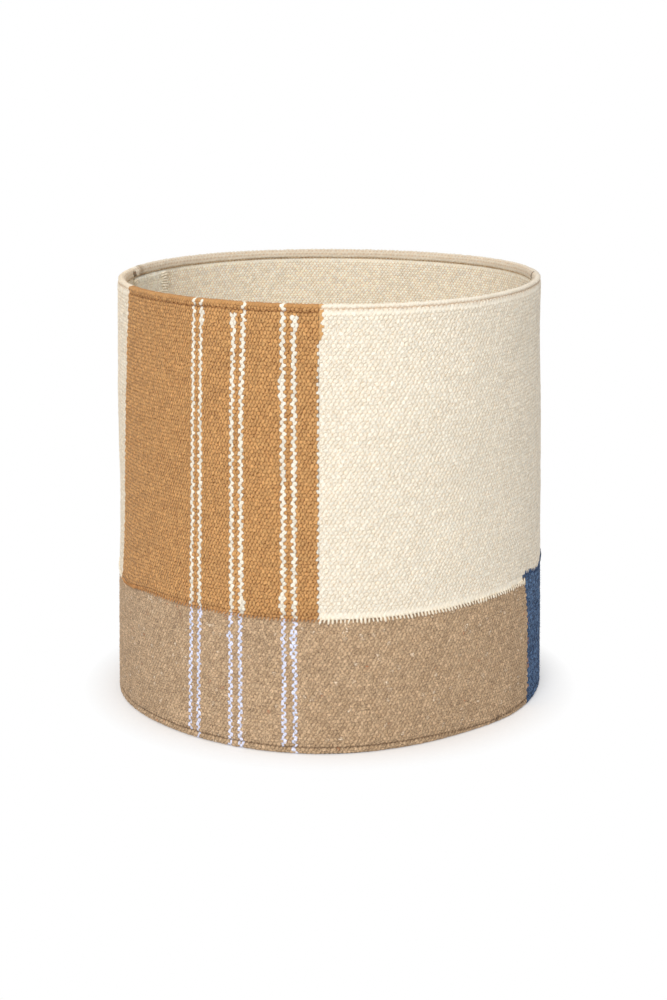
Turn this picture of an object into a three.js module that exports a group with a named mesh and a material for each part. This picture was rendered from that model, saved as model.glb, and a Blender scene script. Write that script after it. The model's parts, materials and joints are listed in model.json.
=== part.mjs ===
// Round handwoven floor basket: a lined drum of thick flat-woven cotton in blocks of colour.
// Millimetres, +Z up. The origin is the centre of the foot, and the front faces -Y.
// Azimuths are degrees round the foot from the front, positive towards +X.
import * as THREE from "three";

// Overall size
const basketHeight = 400;
const outerRadius = 200;

// Layers of the wall, from the outside in
const clothThickness = 2.2;
const stiffenerThickness = 1.2;
const liningThickness = 1.6;
const layerSlack = 0.5; // room between the layers, which are flat goods bent round
const seat = 0.3; // clearance between pieces that touch

// Hems: the outer cloth rolls over a wire and is stitched down through the wall
const hoopWire = 3.6; // diameter of the sprung wire in each hem
const rimStitchPastWire = 2.7; // from the wire to the row of stitches
const footStitchPastWire = 1.7;
const stitchPull = 0.7; // how far the stitches draw the wall in
const hemBulge = 0.4; // how far the roll stands proud of the wall
const hemEase = 3; // height over which the wall comes back out of the stitch groove
const legPastStitch = 2.4; // turned edge beyond the stitches

// Blocks of colour
const bandJoin = 124.4; // height of the join between the upper and lower blocks
const blueRise = 6; // the blue block is woven this much taller than the taupe
const riseDegrees = 4; // degrees over which the join climbs to the blue
const tanLeftAzimuth = -78.2;
const tanRightAzimuth = -2.8;
const blueLeftAzimuth = 69.1;
const closingSeamAzimuth = -110.7; // the cloth's two ends meet here, towards the back

// The hand-beaten weave leans forward on the left: by so much at the rim, about one azimuth
const weaveLeanDegrees = 15;
const leanCentreAzimuth = -85;
const leanSpreadDegrees = 39;

// Stiffener sheet inside the wall, and the strip sewn over the lining's closing seam
const stiffenerSetback = 3.5; // from the cloth's turned edges
const stiffenerButtAzimuth = 170; // where the rolled sheet's ends meet
const buttGap = 1.5;
const seamStripFromAzimuth = -122.8;
const seamStripToAzimuth = -101;
const seamStripThickness = 1.5;

// Base, from the floor up
const baseClothThickness = 2.2;
const flangePastStitch = 1.5; // the base cloth's turned-up edge, above the foot's stitches
const boardThickness = 3;
const baseLiningThickness = 1.8;

// Facets
const fullTurn = 360;
const clothStepDegrees = 4; // degrees between sections of the outer cloth
const ringStepDegrees = 6; // degrees between sections of the pieces inside
const leastStepDegrees = 1; // sections closer than this to an end are left out
const rowHeight = 70;
const outerArcSteps = 6;
const innerArcSteps = 3;
const wireSides = 8;

// Sizes that follow from the layers and hems
const clothInner = outerRadius - clothThickness;
const stiffenerOuter = clothInner - layerSlack;
const stiffenerInner = stiffenerOuter - stiffenerThickness;
const liningOuter = stiffenerInner - layerSlack;
const liningInner = liningOuter - liningThickness;
const rollInner = hoopWire / 2 + layerSlack;
const rollOuter = rollInner + clothThickness;
const rollCentre = outerRadius + hemBulge - rollOuter;
const wireDepth = rollOuter + hoopWire / 2; // from the fold to the far side of the wire
const rimStitchDepth = wireDepth + rimStitchPastWire;
const footStitchDepth = wireDepth + footStitchPastWire;
const tuckedOuter = clothInner - stitchPull - layerSlack; // the lining where the hem grips it
const tuckedInner = tuckedOuter - liningThickness;
const legOuter = tuckedInner - layerSlack; // the cloth's turned edge inside the basket
const legInner = legOuter - clothThickness;
const legTop = footStitchDepth + legPastStitch; // of the foot hem
const legBottom = basketHeight - rimStitchDepth - legPastStitch; // of the rim hem
const stiffenerLow = legTop + stiffenerSetback;
const stiffenerHigh = legBottom - stiffenerSetback;
const baseOuter = Math.min(legInner, rollCentre - rollOuter) - seat;
const baseInner = baseOuter - baseClothThickness;

const { degToRad, radToDeg, lerp, smoothstep, euclideanModulo } = THREE.MathUtils;
const corner = (radius, height) => new THREE.Vector2(radius, height);

// The azimuth at some height of a row of weave that starts at an azimuth on the foot.
function alongWeave(azimuth, height) {
  const halfTurn = fullTurn / 2;
  const away = euclideanModulo(azimuth - leanCentreAzimuth + halfTurn, fullTurn) - halfTurn;
  const share = Math.exp(-((away / leanSpreadDegrees) ** 2));
  return azimuth + (weaveLeanDegrees * share * height) / basketHeight;
}

function upright(azimuth) {
  return azimuth;
}

function wallPoint(radius, azimuth, height) {
  const angle = degToRad(azimuth);
  return new THREE.Vector3(radius * Math.sin(angle), -radius * Math.cos(angle), height);
}

// The azimuths where a swept piece has a section: its two ends, a regular grid, and the two ends
// of the climb in the join.
function sectionStops(from, to, step) {
  const grid = [blueLeftAzimuth - riseDegrees, blueLeftAzimuth];
  for (let stop = Math.ceil(from / step) * step; stop < to; stop += step) {
    grid.push(stop);
  }
  const inside = grid.filter((stop) => stop > from + leastStepDegrees && stop < to - leastStepDegrees);
  return [from, ...inside.sort((a, b) => a - b), to];
}

// Sweeps an outline of corners, listed counter-clockwise, along part of the wall. Each facet is
// split along its shorter diagonal, which keeps leaning cloth close to round.
function sweepWall(outlineAt, from, to, step, bend) {
  const stops = sectionStops(from, to, step);
  const corners = outlineAt(from).length;
  const points = [];
  for (const stop of stops) {
    for (const { x: radius, y: height } of outlineAt(stop)) {
      points.push(wallPoint(radius, bend(stop, height), height));
    }
  }
  const last = (stops.length - 1) * corners;
  const index = [];
  for (let start = 0; start < last; start += corners) {
    for (let j = 0; j < corners; j += 1) {
      const a = start + j;
      const b = start + ((j + 1) % corners);
      const c = a + corners;
      const d = b + corners;
      if (points[c].distanceTo(points[b]) < points[a].distanceTo(points[d])) {
        index.push(a, c, b, b, c, d);
      } else {
        index.push(a, c, d, a, d, b);
      }
    }
  }
  for (const [a, b, c] of THREE.ShapeUtils.triangulateShape(outlineAt(from), [])) {
    index.push(a, b, c);
  }
  for (const [a, b, c] of THREE.ShapeUtils.triangulateShape(outlineAt(to), [])) {
    index.push(last + a, last + c, last + b);
  }
  const geometry = new THREE.BufferGeometry().setFromPoints(points);
  geometry.setIndex(index);
  geometry.computeVertexNormals();
  return geometry;
}

// Revolves an outline that starts and ends on the axis or closes on itself.
function revolve(outline) {
  const lathe = new THREE.LatheGeometry(outline, fullTurn / ringStepDegrees);
  lathe.rotateX(Math.PI / 2);
  return lathe;
}

// Part of the roll over the wire, as [radius, depth below the fold].
function rollArc(radius, from, to, steps) {
  return Array.from({ length: steps + 1 }, (_, i) => {
    const angle = lerp(from, to, i / steps);
    return [rollCentre + radius * Math.cos(angle), rollOuter - radius * Math.sin(angle)];
  });
}

// Section of the outer cloth from the band join to a fold, over the wire and on to the turned edge.
function hemmedOutline(cut, fold, stitches) {
  const up = Math.sign(fold - cut);
  const length = Math.abs(fold - cut);
  const ease = stitches + hemEase;
  const legEnd = stitches + legPastStitch;
  const spans = Math.ceil((length - ease) / rowHeight);
  const rows = Array.from({ length: spans + 1 }, (_, i) => lerp(length, ease, i / spans));
  const outline = [
    ...rows.map((depth) => [outerRadius, depth]),
    [outerRadius - stitchPull, stitches],
    ...rollArc(rollOuter, 0, Math.PI, outerArcSteps),
    [legInner, stitches],
    [legInner, legEnd],
    [legOuter, legEnd],
    [legOuter, stitches],
    ...rollArc(rollInner, Math.PI, 0, innerArcSteps),
    [clothInner - stitchPull, stitches],
    ...rows.reverse().map((depth) => [clothInner, depth]),
  ].map(([radius, depth]) => corner(radius, fold - up * depth));
  return up > 0 ? outline : outline.reverse();
}

// The join climbs where the blue block stands taller.
function joinHeight(azimuth) {
  return bandJoin + blueRise * smoothstep(azimuth, blueLeftAzimuth - riseDegrees, blueLeftAzimuth);
}

const halfSeam = radToDeg(seat / 2 / legInner);

function upperPanel(from, to) {
  const outlineAt = (azimuth) => hemmedOutline(joinHeight(azimuth) + seat / 2, basketHeight, rimStitchDepth);
  return sweepWall(outlineAt, from + halfSeam, to - halfSeam, clothStepDegrees, alongWeave);
}

function lowerPanel(from, to) {
  const outlineAt = (azimuth) => hemmedOutline(joinHeight(azimuth) - seat / 2, 0, footStitchDepth);
  return sweepWall(outlineAt, from + halfSeam, to - halfSeam, clothStepDegrees, alongWeave);
}

// A flat strip that stands upright and bends round inside the wall.
function standingStrip(outer, thickness, low, high, from, to) {
  const inner = outer - thickness;
  const outline = [corner(outer, low), corner(outer, high), corner(inner, high), corner(inner, low)];
  return sweepWall(() => outline, from, to, ringStepDegrees, upright);
}

function wallStiffener() {
  const halfButt = radToDeg(buttGap / 2 / stiffenerInner);
  const from = stiffenerButtAzimuth - fullTurn + halfButt;
  const to = stiffenerButtAzimuth - halfButt;
  return standingStrip(stiffenerOuter, stiffenerThickness, stiffenerLow, stiffenerHigh, from, to);
}

function liningSeamStrip() {
  const outer = liningInner - layerSlack;
  const low = legTop + seat;
  const high = legBottom - seat;
  return standingStrip(outer, seamStripThickness, low, high, seamStripFromAzimuth, seamStripToAzimuth);
}

// The lining lies on the stiffener and steps out past its edges, up to the wires in both hems.
function liningWall() {
  const lowEdge = wireDepth + seat;
  const highEdge = basketHeight - wireDepth - seat;
  const lowStep = stiffenerLow - seat;
  const highStep = stiffenerHigh + seat;
  const stepOut = tuckedOuter - liningOuter;
  const outline = [
    corner(tuckedOuter, lowEdge),
    corner(tuckedOuter, lowStep - stepOut),
    corner(liningOuter, lowStep),
    corner(liningOuter, highStep),
    corner(tuckedOuter, highStep + stepOut),
    corner(tuckedOuter, highEdge),
    corner(tuckedInner, highEdge),
    corner(tuckedInner, highStep + stepOut),
    corner(liningInner, highStep),
    corner(liningInner, lowStep),
    corner(tuckedInner, lowStep - stepOut),
    corner(tuckedInner, lowEdge),
  ];
  return revolve([...outline, outline[0]]);
}

function hoop(height) {
  const torus = new THREE.TorusGeometry(rollCentre, hoopWire / 2, wireSides, fullTurn / ringStepDegrees);
  torus.translate(0, 0, height);
  return torus;
}

// The base cloth is a shallow dish whose turned-up edge is caught in the foot's stitches.
function baseCloth() {
  const flangeTop = footStitchDepth + flangePastStitch;
  return revolve([
    corner(0, 0),
    corner(baseOuter, 0),
    corner(baseOuter, flangeTop),
    corner(baseInner, flangeTop),
    corner(baseInner, baseClothThickness),
    corner(0, baseClothThickness),
  ]);
}

function disc(low, thickness) {
  const radius = baseInner - seat;
  const cylinder = new THREE.CylinderGeometry(radius, radius, thickness, fullTurn / ringStepDegrees);
  cylinder.rotateX(Math.PI / 2);
  cylinder.translate(0, 0, low + thickness / 2);
  return cylinder;
}

const boardLow = baseClothThickness + seat;
const baseLiningLow = boardLow + boardThickness + seat;

const cloth = (color) => new THREE.MeshStandardMaterial({ color, roughness: 0.95, metalness: 0 });
const sheet = (color) => new THREE.MeshStandardMaterial({ color, roughness: 0.85, metalness: 0 });
const wire = () => new THREE.MeshStandardMaterial({ color: 0x9a9da0, roughness: 0.4, metalness: 1 });

const tan = 0xc08a50;
const cream = 0xe9dfcc;
const liningCream = 0xdfd2b8;
const taupe = 0xa88c6d;
const blue = 0x3f5f88;
const greyFelt = 0xc9c6bf;
const brownBoard = 0x9b7a56;

const basket = new THREE.Group();

function add(name, geometry, material) {
  const mesh = new THREE.Mesh(geometry, material);
  mesh.name = name;
  basket.add(mesh);
}

add("tan_striped_panel", upperPanel(tanLeftAzimuth, tanRightAzimuth), cloth(tan));
add("cream_right_panel", upperPanel(tanRightAzimuth, closingSeamAzimuth + fullTurn), cloth(cream));
add("cream_left_panel", upperPanel(closingSeamAzimuth, tanLeftAzimuth), cloth(cream));
add("taupe_striped_panel", lowerPanel(closingSeamAzimuth, blueLeftAzimuth), cloth(taupe));
add("blue_panel", lowerPanel(blueLeftAzimuth, closingSeamAzimuth + fullTurn), cloth(blue));
add("rim_hoop", hoop(basketHeight - rollOuter), wire());
add("foot_hoop", hoop(rollOuter), wire());
add("wall_stiffener", wallStiffener(), sheet(greyFelt));
add("lining_wall", liningWall(), cloth(liningCream));
add("lining_seam_strip", liningSeamStrip(), cloth(liningCream));
add("base_cloth", baseCloth(), cloth(taupe));
add("base_board", disc(boardLow, boardThickness), sheet(brownBoard));
add("base_lining", disc(baseLiningLow, baseLiningThickness), cloth(liningCream));

export default basket;
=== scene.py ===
# Handwoven round basket, made in the order it is put together.
# Sizes are in millimetres and turned to metres where a mesh is made.
# Azimuth is in degrees from the front, growing towards +X.
import json
import math
from types import SimpleNamespace
import bmesh
import bpy
import numpy as np
from mathutils import Vector
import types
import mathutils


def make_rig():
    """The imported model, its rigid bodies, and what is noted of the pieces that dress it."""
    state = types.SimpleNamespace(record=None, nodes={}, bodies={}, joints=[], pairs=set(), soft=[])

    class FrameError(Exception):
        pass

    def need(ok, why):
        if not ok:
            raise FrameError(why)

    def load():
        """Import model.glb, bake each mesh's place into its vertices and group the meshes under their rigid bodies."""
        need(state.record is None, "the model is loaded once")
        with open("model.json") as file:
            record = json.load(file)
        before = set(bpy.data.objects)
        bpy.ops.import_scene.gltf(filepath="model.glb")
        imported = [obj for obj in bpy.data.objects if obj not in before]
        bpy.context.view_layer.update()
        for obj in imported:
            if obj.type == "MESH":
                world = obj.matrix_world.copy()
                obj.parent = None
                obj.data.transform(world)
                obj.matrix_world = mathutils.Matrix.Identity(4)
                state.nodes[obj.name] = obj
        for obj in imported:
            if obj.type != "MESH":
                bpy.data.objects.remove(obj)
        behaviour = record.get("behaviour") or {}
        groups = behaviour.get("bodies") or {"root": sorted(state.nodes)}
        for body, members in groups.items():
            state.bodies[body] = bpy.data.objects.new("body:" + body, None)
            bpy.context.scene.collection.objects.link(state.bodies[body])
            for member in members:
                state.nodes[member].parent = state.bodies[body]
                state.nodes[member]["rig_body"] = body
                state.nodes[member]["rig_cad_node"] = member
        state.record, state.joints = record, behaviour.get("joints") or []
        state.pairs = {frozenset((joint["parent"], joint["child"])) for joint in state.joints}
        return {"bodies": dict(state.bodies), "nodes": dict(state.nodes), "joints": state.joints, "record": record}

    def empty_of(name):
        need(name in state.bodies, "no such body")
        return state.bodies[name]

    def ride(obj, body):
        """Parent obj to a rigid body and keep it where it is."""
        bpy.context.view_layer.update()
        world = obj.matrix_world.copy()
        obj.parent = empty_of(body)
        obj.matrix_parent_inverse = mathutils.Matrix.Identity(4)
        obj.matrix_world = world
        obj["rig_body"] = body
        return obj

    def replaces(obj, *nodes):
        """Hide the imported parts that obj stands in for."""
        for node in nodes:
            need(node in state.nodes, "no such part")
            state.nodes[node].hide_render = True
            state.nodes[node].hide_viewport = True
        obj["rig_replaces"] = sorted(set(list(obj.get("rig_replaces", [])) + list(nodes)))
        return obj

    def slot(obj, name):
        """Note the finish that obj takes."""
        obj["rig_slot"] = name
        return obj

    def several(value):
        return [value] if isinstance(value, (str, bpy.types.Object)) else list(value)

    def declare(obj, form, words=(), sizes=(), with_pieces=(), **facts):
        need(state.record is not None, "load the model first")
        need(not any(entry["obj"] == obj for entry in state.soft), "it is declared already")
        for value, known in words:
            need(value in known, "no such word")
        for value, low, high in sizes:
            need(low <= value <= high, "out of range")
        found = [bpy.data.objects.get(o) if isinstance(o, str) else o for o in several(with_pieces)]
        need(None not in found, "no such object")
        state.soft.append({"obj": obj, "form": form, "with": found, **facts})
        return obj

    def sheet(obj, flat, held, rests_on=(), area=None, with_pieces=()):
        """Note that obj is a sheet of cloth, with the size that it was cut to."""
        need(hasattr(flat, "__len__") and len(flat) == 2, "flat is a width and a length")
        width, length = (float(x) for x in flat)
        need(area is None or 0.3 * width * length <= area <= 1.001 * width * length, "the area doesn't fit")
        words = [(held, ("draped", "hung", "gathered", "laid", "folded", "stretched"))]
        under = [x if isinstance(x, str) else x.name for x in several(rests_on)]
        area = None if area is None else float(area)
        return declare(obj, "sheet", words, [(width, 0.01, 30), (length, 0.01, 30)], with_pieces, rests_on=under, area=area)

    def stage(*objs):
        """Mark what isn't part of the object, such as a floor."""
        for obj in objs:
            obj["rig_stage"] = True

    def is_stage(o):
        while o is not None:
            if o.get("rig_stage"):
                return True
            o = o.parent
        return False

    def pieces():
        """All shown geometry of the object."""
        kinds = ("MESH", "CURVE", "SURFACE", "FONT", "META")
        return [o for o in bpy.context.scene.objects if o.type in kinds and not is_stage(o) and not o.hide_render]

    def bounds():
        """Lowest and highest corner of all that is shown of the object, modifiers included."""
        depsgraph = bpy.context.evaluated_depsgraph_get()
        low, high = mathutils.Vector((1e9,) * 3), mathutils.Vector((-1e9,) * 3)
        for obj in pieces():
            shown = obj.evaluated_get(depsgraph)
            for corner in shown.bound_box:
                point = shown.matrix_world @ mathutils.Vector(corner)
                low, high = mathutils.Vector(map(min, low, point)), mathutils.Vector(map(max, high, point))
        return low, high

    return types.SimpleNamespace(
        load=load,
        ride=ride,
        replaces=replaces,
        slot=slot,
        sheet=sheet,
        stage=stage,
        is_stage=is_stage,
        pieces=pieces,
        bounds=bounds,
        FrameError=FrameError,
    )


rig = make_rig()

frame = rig.load()
cad_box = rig.bounds()


# Hoops
# Two rings of sprung steel wire that lie in the rolled hems and keep the mouth and the foot open.
# The soft wall has pulled them a little out of round, and every other piece follows the same shape.
mm = 0.001
basket_height = 400.0
wire_radius = 1.5
wire_sides = 8
roll_centre = 196.7
roll_radius = 3.7
rim_roll_z = 393.6
foot_roll_z = 3.9
degrees_a_face = 3.0


class Field:
    """A socket in a node tree. Python's operators on it add the tree's nodes."""

    def __init__(self, tree, socket=None):
        self.tree = tree
        self.socket = socket

    def node(self, kind, settings=None, values=None, out=0):
        made = self.tree.nodes.new(kind)
        for name, value in (settings or {}).items():
            setattr(made, name, value)
        for name, value in (values or {}).items():
            if isinstance(value, Field):
                self.tree.links.new(value.socket, made.inputs[name])
            elif isinstance(value, tuple):
                made.inputs[name].default_value = value[:len(made.inputs[name].default_value)]
            else:
                made.inputs[name].default_value = value
        return Field(self.tree, made.outputs[out])

    def math(self, operation, *others):
        return self.node("ShaderNodeMath", {"operation": operation}, dict(enumerate((self, *others))))

    def parts(self):
        split = self.node("ShaderNodeSeparateXYZ", {}, {0: self})
        return [Field(self.tree, socket) for socket in split.socket.node.outputs]

    def feeds(self, shader, socket):
        self.tree.links.new(self.socket, shader.inputs[socket])

    def __add__(self, other):
        return self.math("ADD", other)

    def __mul__(self, other):
        return self.math("MULTIPLY", other)

    def __sub__(self, other):
        return self.math("SUBTRACT", other)

    def __truediv__(self, other):
        return self.math("DIVIDE", other)

    def __pow__(self, other):
        return self.math("POWER", other)

    def __mod__(self, other):
        return self.math("FLOORED_MODULO", other)

    def __gt__(self, other):
        return self.math("GREATER_THAN", other)

    def __lt__(self, other):
        return self.math("LESS_THAN", other)

    def __rsub__(self, other):
        return self.node("ShaderNodeMath", {"operation": "SUBTRACT"}, {0: other, 1: self})

    def __rpow__(self, other):
        return self.node("ShaderNodeMath", {"operation": "POWER"}, {0: other, 1: self})

    def __round__(self):
        return self.math("ROUND")

    def __floor__(self):
        return self.math("FLOOR")

    def __abs__(self):
        return self.math("ABSOLUTE")

    __radd__ = __add__
    __rmul__ = __mul__


def cosine(turn):
    """The cosine of degrees, given as a number or a field."""
    turn = turn * (math.pi / 180)
    return turn.math("COSINE") if isinstance(turn, Field) else math.cos(turn)


def hill(value, top, spread):
    """1 at the top, falling off to 0 on both sides."""
    off = (value - top) * (1 / spread)
    return math.e ** (off * off * -1)


def swell(turn, height):
    """How far the wall stands out of round, with height from 0 at the foot to 1 at the rim. The rim and
    the foot have a few soft lobes each, and there is a waist on both sides."""
    rim = 3.2 * cosine(2 * turn) + 1.5 * cosine(3 * turn) + 1.8 * cosine(4 * (turn - 29))
    foot = 5.1 * cosine(2 * (turn - 124)) + 3.1 * cosine(4 * turn)
    left_waist = 1.8 * hill(turn, -88, 38) * hill(height, 0.45, 0.15)
    right_waist = 1.5 * hill(turn, 88, 34) * hill(height, 0.86, 0.12)
    full_foot = 3.8 * hill(turn, 57, 16) * hill(height, 0, 0.3)
    return height * rim + (1 - height) * foot + full_foot - left_waist - right_waist


def stand(turn, radius, z):
    """A point of the soft basket in metres, from its azimuth and its place in the round one."""
    out = (radius + swell(turn, z / basket_height)) * mm
    return (out * cosine(turn - 90), out * cosine(turn) * -1, z * mm)


def dye(red, green, blue):
    """A colour given as it looks on a screen, 0 to 255, in the linear light that materials use."""
    return (*(((c / 255 + 0.055) / 1.055) ** 2.4 for c in (red, green, blue)), 1.0)


def tinted(colour, strength):
    """A colour made lighter or darker by a field."""
    return strength.node("ShaderNodeVectorMath", {"operation": "SCALE"}, {0: colour, "Scale": strength})


def new_piece(name, points, faces, smooth=None, material=None):
    mesh = bpy.data.meshes.new(name)
    mesh.from_pydata(points, [], faces)
    mesh.polygons.foreach_set("use_smooth", [True] * len(faces) if smooth is None else smooth)
    if material:
        mesh.materials.append(material)
    mesh.update()
    piece = bpy.data.objects.new(name, mesh)
    bpy.context.scene.collection.objects.link(piece)
    return piece


def turned(name, outline, material, start=-180.0, end=180.0):
    """Carries a closed outline of radius and z round the basket. A point on the axis becomes a pole."""
    whole = end - start == 360
    count = round((end - start) / degrees_a_face)
    turns = [start + (end - start) * i / count for i in range(count if whole else count + 1)]
    points, rings = [], []
    for radius, z in outline:
        if radius == 0:
            rings.append([len(points)] * len(turns))
            points.append((0.0, 0.0, z * mm))
        else:
            rings.append(list(range(len(points), len(points) + len(turns))))
            points.extend(stand(turn, radius, z) for turn in turns)
    faces = []
    for low, high in zip(rings, rings[1:] + rings[:1]):
        for i in range(count):
            j = (i + 1) % len(turns)
            loop = [low[i], low[j], high[j], high[i]]
            loop = [p for k, p in enumerate(loop) if p != loop[k - 1]]
            if len(loop) > 2:
                faces.append(loop)
    if not whole:
        faces.append([ring[0] for ring in rings])
        faces.append([ring[-1] for ring in reversed(rings)])
    return new_piece(name, points, faces, [len(face) < 5 for face in faces], material)


def new_material(name):
    """A material, its shader, and a field that starts expressions in its node tree."""
    material = bpy.data.materials.new(name)
    material.use_nodes = True
    return material, material.node_tree.nodes["Principled BSDF"], Field(material.node_tree)


wire_metal, surface, start = new_material("drawn steel wire")
surface.inputs["Metallic"].default_value = 1.0
place = start.node("ShaderNodeTexCoord", out=3)
drawn = start.node("ShaderNodeTexNoise", {}, {"Vector": place, "Scale": 900.0, "Detail": 3.0})
tinted(dye(176, 176, 172), 0.8 + 0.4 * drawn).feeds(surface, "Base Color")
(0.3 + 0.3 * drawn).feeds(surface, "Roughness")

for name, z in (("foot_hoop", foot_roll_z), ("rim_hoop", rim_roll_z)):
    section = []
    for i in range(wire_sides):
        turn = 360 / wire_sides * i
        section.append((roll_centre + wire_radius * cosine(turn), z + wire_radius * cosine(turn - 90)))
    hoop = turned(name + "_wire", section, wire_metal)
    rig.replaces(hoop, name)
    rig.slot(hoop, "hoop_wire")
    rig.ride(hoop, "root")


# Wall stiffener
# One strip of stiff grey felt that stands between the cloth and the lining, from hoop to hoop.
# Its ends meet at the back, and nothing but the cloth holds it.
felt_inside, felt_outside = 196.1, 197.3
felt_bottom, felt_top = 13.9, 385.1
felt_bends = (140, 262)
felt_gap_turn = 170.0
felt_gap_half = 0.21

felt, surface, start = new_material("grey felt")
place = start.node("ShaderNodeTexCoord", out=3)
fibres = start.node("ShaderNodeTexNoise", {}, {"Vector": place, "Scale": 700.0, "Detail": 4.0})
tinted(dye(168, 164, 157), 0.75 + 0.5 * fibres).feeds(surface, "Base Color")
surface.inputs["Roughness"].default_value = 0.95
start.node("ShaderNodeBump", {}, {"Height": fibres, "Distance": 0.0004}).feeds(surface, "Normal")

felt_outline = [(felt_outside, z) for z in (felt_bottom, *felt_bends, felt_top)]
felt_outline += [(felt_inside, z) for z in (felt_top, *reversed(felt_bends))]
stiffener = turned(
    "felt_stiffener",
    [(felt_inside, felt_bottom), *felt_outline],
    felt,
    start=felt_gap_turn + felt_gap_half - 360,
    end=felt_gap_turn - felt_gap_half,
)
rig.replaces(stiffener, "wall_stiffener")
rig.slot(stiffener, "stiffener_felt")
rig.ride(stiffener, "root")
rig.sheet(stiffener, flat=(1.235, 0.371), held="stretched", rests_on=["foot_hoop_wire", "rim_hoop_wire"])


# Lining of the wall
# Cream cotton, woven weft-faced like the outside but finer. Ribs run round it, each weft float is a bead.
# It is one length, closed at the rear left, and its top and bottom edges are caught behind the hems.
seam_turn = -110.7
lining_picks = 674
lining_rib = 2.45
lining_ribs = 157
tuck_below, tuck_above = 11, 388.8
bead_half_width = 1.04
bead_half_height = 0.71


def between(value, low, high):
    """A number or a field held between two limits."""
    if isinstance(value, Field):
        return value.math("MAXIMUM", low).math("MINIMUM", high)
    return min(max(value, low), high)


def drift(pick, rib, kind, picks, ribs):
    """Slow unevenness of the cloth from -1 to 1, about that many picks and ribs across."""
    spot = pick.node("ShaderNodeCombineXYZ", {}, {0: pick * (1 / picks), 1: rib * (1 / ribs), 2: kind})
    noise = spot.node("ShaderNodeTexNoise", {}, {"Vector": spot, "Scale": 1.0, "Detail": 1.0})
    return noise * 4 - 2


def beads(pick, rib, slant=0.2, uneven=1.0):
    """The bead that a place on the cloth lies on: its pick, its rib, how far the place is from its
    middle (0) to its edge (1), and the place on it across and up. Hand weaving is never even."""
    pick = pick + 0.5 * uneven * drift(pick, rib, 9.0, 1.5, 1.1)
    rib = rib + 0.24 * uneven * drift(pick, rib, 13.0, 1.4, 1.6)
    row = math.floor(rib)
    up = rib - row - 0.5
    step = up.math("SIGN")

    def nearest(line, rise):
        middle = line + 2 * round((pick - line) * 0.5)
        across = pick - middle - slant * rise
        spread = (across * (1 / bead_half_width)) ** 2 + (rise * (1 / bead_half_height)) ** 2
        return middle, across, rise, spread

    own = nearest(row, up)
    next_one = nearest(row + step, up - step)
    over = next_one[3] < own[3]
    middle, across, rise, spread = [a + (b - a) * over for a, b in zip(own, next_one)]
    return SimpleNamespace(pick=middle, rib=row + step * over, spread=spread, across=across, rise=rise)


def dome(spread):
    """The height of a bead's round back, from 1 at its middle to 0 at its edge."""
    return (1 - spread).math("MAXIMUM", 0.0)


def by_chance(bead, kind):
    """A number from 0 to 1 that is the same all over one bead."""
    spot = bead.pick.node("ShaderNodeCombineXYZ", {}, {0: bead.pick, 1: bead.rib, 2: float(kind)})
    return spot.node("ShaderNodeTexWhiteNoise", {"noise_dimensions": "3D"}, {0: spot})


def cut_cloth(name, picks, ribs, finer=2, first=None, last=None, inward=False):
    """A flat closed piece of cloth: x counts picks, y counts ribs, z is 0 on its face and 1 on its back,
    where the faces are larger. finer is how many points stand on a pick and on a rib, first and last
    give the lowest and highest rib at a pick, and inward turns the face towards the axis."""
    along = np.linspace(*picks, round((picks[1] - picks[0]) * finer) + 1)
    rows = np.linspace(*ribs, round((ribs[1] - ribs[0]) * finer) + 1)
    wide, tall = len(along), len(rows)
    few_along = sorted(set(range(0, wide, max(1, round(2 * finer)))) | {wide - 1})
    few_rows = sorted(set(range(0, tall, 2)) | {tall - 1})

    def grid(columns, lines, side):
        x, y = np.meshgrid(columns, lines, indexing="ij")
        if first:
            y = np.maximum(y, np.vectorize(first)(x))
        if last:
            y = np.minimum(y, np.vectorize(last)(x))
        return np.stack([x.ravel(), y.ravel(), np.full(x.size, side)], axis=1)

    points = np.concatenate([grid(along, rows, 0.0), grid(along[few_along], rows[few_rows], 1.0)])
    back_start, back_tall = wide * tall, len(few_rows)
    faces = []
    for i in range(wide - 1):
        for j in range(i * tall, i * tall + tall - 1):
            faces.append((j, j + tall, j + tall + 1, j + 1))

    def back(i, j):
        return back_start + i * back_tall + j

    for i in range(len(few_along) - 1):
        for j in range(back_tall - 1):
            faces.append((back(i, j), back(i, j + 1), back(i + 1, j + 1), back(i + 1, j)))
    smooth = [True] * len(faces)
    for i, (a, b) in enumerate(zip(few_along, few_along[1:])):
        low = [k * tall for k in range(a, b + 1)]
        high = [k * tall + tall - 1 for k in range(a, b + 1)]
        faces.append((*reversed(low), back(i, 0), back(i + 1, 0)))
        faces.append((*high, back(i + 1, back_tall - 1), back(i, back_tall - 1)))
    for j, (a, b) in enumerate(zip(few_rows, few_rows[1:])):
        left = list(range(a, b + 1))
        right = [(wide - 1) * tall + k for k in left]
        end = len(few_along) - 1
        faces.append((*left, back(0, j + 1), back(0, j)))
        faces.append((*reversed(right), back(end, j), back(end, j + 1)))
    smooth += [False] * (len(faces) - len(smooth))
    if inward:
        faces = [tuple(reversed(face)) for face in faces]
    piece = new_piece(name, points.tolist(), faces, smooth)
    if first or last:
        sheet = bmesh.new()
        sheet.from_mesh(piece.data)
        bmesh.ops.remove_doubles(sheet, verts=sheet.verts, dist=0.0001)
        bmesh.ops.dissolve_degenerate(sheet, edges=sheet.edges, dist=0.0001)
        sheet.to_mesh(piece.data)
        sheet.free()
    return piece


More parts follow.
